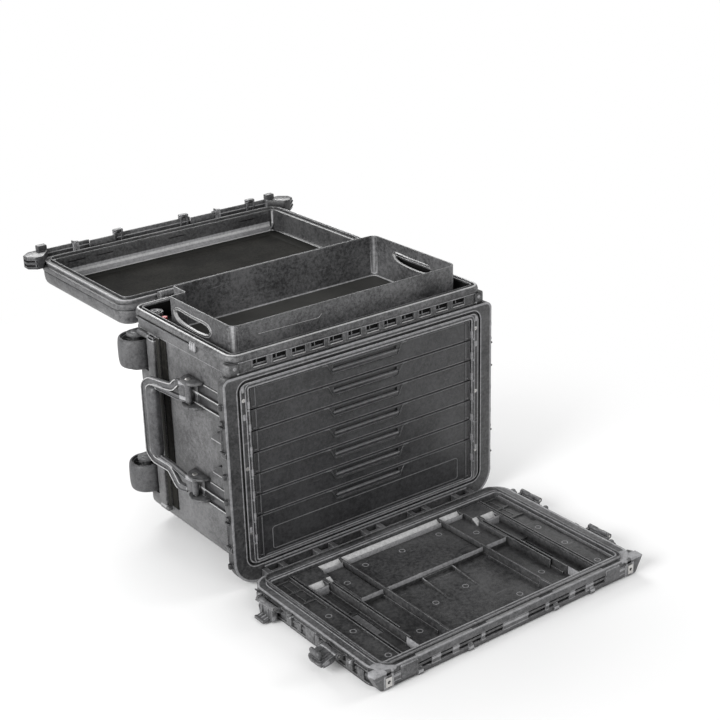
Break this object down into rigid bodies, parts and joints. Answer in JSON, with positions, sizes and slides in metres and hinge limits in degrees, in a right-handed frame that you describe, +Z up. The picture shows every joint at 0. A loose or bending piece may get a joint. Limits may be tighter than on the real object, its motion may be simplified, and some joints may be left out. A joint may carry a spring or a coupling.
{
  "type": "tool case with drawers",
  "caption": "Moulded tool case with stacked drawers behind a drop-down front door, a lift-out tray under a hinged lid, wheels, folding side handles and draw latches.",
  "frame": {"origin": "on the floor under the middle of the case body, at the underside of the middle skid", "axes": "+Z up, the front opening faces -Y, +X is to the right of someone facing the front"},
  "size_m": [0.6654, 1.1385, 0.4733],
  "materials": {
    "shell": "fine moulded grain",
    "panel": "smooth moulded",
    "drawer": "satin moulded",
    "pad": "smooth satin",
    "lever": "satin moulded",
    "gasket": "matte",
    "tyre": "matte",
    "steel": "brushed",
    "seal": "satin"
  },
  "bodies": {
    "case": {"case_shell": "shell", "top_rim": "shell", "front_frame": "shell", "door_gasket": "gasket", "lid_gasket": "gasket", "tray_shelf": "panel", "back_panel": "panel", "floor_panel": "panel", "runner_left": "panel", "runner_right": "panel", "drawer_catches": "steel", "runner_rivets": "steel", "base_skids": "shell", "frame_screws": "steel", "handle_brackets": "shell", "pressure_valve": "shell", "valve_seal": "seal", "door_hinge_ears": "shell", "lid_hinge_ears": "shell", "hinge_pins": "steel", "handle_pins": "steel", "wheel_brackets": "shell", "wheel_axles": "steel", "pull_handle_guides": "steel"},
    "door": {"door_shell": "shell", "door_inner_panel": "panel", "padlock_plates": "steel", "door_latch_pins": "steel"},
    "latch_left_upper": {"door_latch_left_upper": "lever"},
    "latch_left_lower": {"door_latch_left_lower": "lever"},
    "latch_right_upper": {"door_latch_right_upper": "lever"},
    "latch_right_lower": {"door_latch_right_lower": "lever"},
    "lid": {"lid_shell": "shell", "lid_latch_pins": "steel"},
    "latch_lid_left": {"lid_latch_left": "lever"},
    "latch_lid_right": {"lid_latch_right": "lever"},
    "tray": {"tray": "shell"},
    "drawer_1_body": {"drawer_1": "drawer", "glide_pads_1": "pad"},
    "drawer_2_body": {"drawer_2": "drawer", "glide_pads_2": "pad"},
    "drawer_3_body": {"drawer_3": "drawer", "glide_pads_3": "pad"},
    "drawer_4_body": {"drawer_4": "drawer", "glide_pads_4": "pad"},
    "drawer_5_body": {"drawer_5": "drawer", "glide_pads_5": "pad"},
    "drawer_6_body": {"drawer_6": "drawer", "glide_pads_6": "pad"},
    "drawer_7_body": {"drawer_7": "drawer", "glide_pads_7": "pad"},
    "wheel_upper_body": {"wheel_upper": "panel", "tyre_upper": "tyre"},
    "wheel_lower_body": {"wheel_lower": "panel", "tyre_lower": "tyre"},
    "handle_left": {"handle_bail_left": "lever", "handle_grip_left": "gasket"},
    "handle_right": {"handle_bail_right": "lever", "handle_grip_right": "gasket"},
    "pull_handle_body": {"pull_handle": "lever"}
  },
  "joints": [
    {"name": "door_hinge", "type": "hinge", "parent": "case", "child": "door", "pos_m": [0, -0.1845, 0.0175], "axis": [1, 0, 0], "range_deg": [-90, 0]},
    {"name": "lid_hinge", "type": "hinge", "parent": "case", "child": "lid", "pos_m": [0, 0.184, 0.438], "axis": [-1, 0, 0], "range_deg": [-180, 0]},
    {"name": "latch_left_upper_pivot", "type": "hinge", "parent": "door", "child": "latch_left_upper", "pos_m": [-0.305, -0.459, 0.0315], "axis": [0, -1, 0], "range_deg": [-105, 75]},
    {"name": "latch_left_lower_pivot", "type": "hinge", "parent": "door", "child": "latch_left_lower", "pos_m": [-0.305, -0.277, 0.0315], "axis": [0, -1, 0], "range_deg": [-180, 0]},
    {"name": "latch_right_upper_pivot", "type": "hinge", "parent": "door", "child": "latch_right_upper", "pos_m": [0.305, -0.459, 0.0315], "axis": [0, 1, 0], "range_deg": [-180, 0]},
    {"name": "latch_right_lower_pivot", "type": "hinge", "parent": "door", "child": "latch_right_lower", "pos_m": [0.305, -0.277, 0.0315], "axis": [0, 1, 0], "range_deg": [-180, 0]},
    {"name": "latch_lid_left_pivot", "type": "hinge", "parent": "lid", "child": "latch_lid_left", "pos_m": [-0.14, 0.548, 0.4355], "axis": [-1, 0, 0], "range_deg": [-180, 0]},
    {"name": "latch_lid_right_pivot", "type": "hinge", "parent": "lid", "child": "latch_lid_right", "pos_m": [0.1, 0.548, 0.4355], "axis": [-1, 0, 0], "range_deg": [-180, 0]},
    {"name": "tray_lift", "type": "slide", "parent": "case", "child": "tray", "axis": [0, 0, 1], "range_m": [0, 0.12]},
    {"name": "drawer_1_slide", "type": "slide", "parent": "case", "child": "drawer_1_body", "axis": [0, -1, 0], "range_m": [0, 0.23]},
    {"name": "drawer_2_slide", "type": "slide", "parent": "case", "child": "drawer_2_body", "axis": [0, -1, 0], "range_m": [0, 0.23]},
    {"name": "drawer_3_slide", "type": "slide", "parent": "case", "child": "drawer_3_body", "axis": [0, -1, 0], "range_m": [0, 0.23]},
    {"name": "drawer_4_slide", "type": "slide", "parent": "case", "child": "drawer_4_body", "axis": [0, -1, 0], "range_m": [0, 0.23]},
    {"name": "drawer_5_slide", "type": "slide", "parent": "case", "child": "drawer_5_body", "axis": [0, -1, 0], "range_m": [0, 0.23]},
    {"name": "drawer_6_slide", "type": "slide", "parent": "case", "child": "drawer_6_body", "axis": [0, -1, 0], "range_m": [0, 0.23]},
    {"name": "drawer_7_slide", "type": "slide", "parent": "case", "child": "drawer_7_body", "axis": [0, -1, 0], "range_m": [0, 0.23]},
    {"name": "wheel_upper_spin", "type": "hinge", "parent": "case", "child": "wheel_upper_body", "pos_m": [-0.28, 0.16, 0.356], "axis": [0, 0, 1], "continuous": true},
    {"name": "wheel_lower_spin", "type": "hinge", "parent": "case", "child": "wheel_lower_body", "pos_m": [-0.28, 0.16, 0.104], "axis": [0, 0, 1], "continuous": true},
    {"name": "handle_left_pivot", "type": "hinge", "parent": "case", "child": "handle_left", "pos_m": [-0.29, -0.038, 0.26], "axis": [0, 0, 1], "range_deg": [0, 110]},
    {"name": "handle_right_pivot", "type": "hinge", "parent": "case", "child": "handle_right", "pos_m": [0.29, -0.038, 0.26], "axis": [0, 0, -1], "range_deg": [0, 110]},
    {"name": "pull_handle_slide", "type": "slide", "parent": "case", "child": "pull_handle_body", "axis": [1, 0, 0], "range_m": [0, 0.34]}
  ]
}
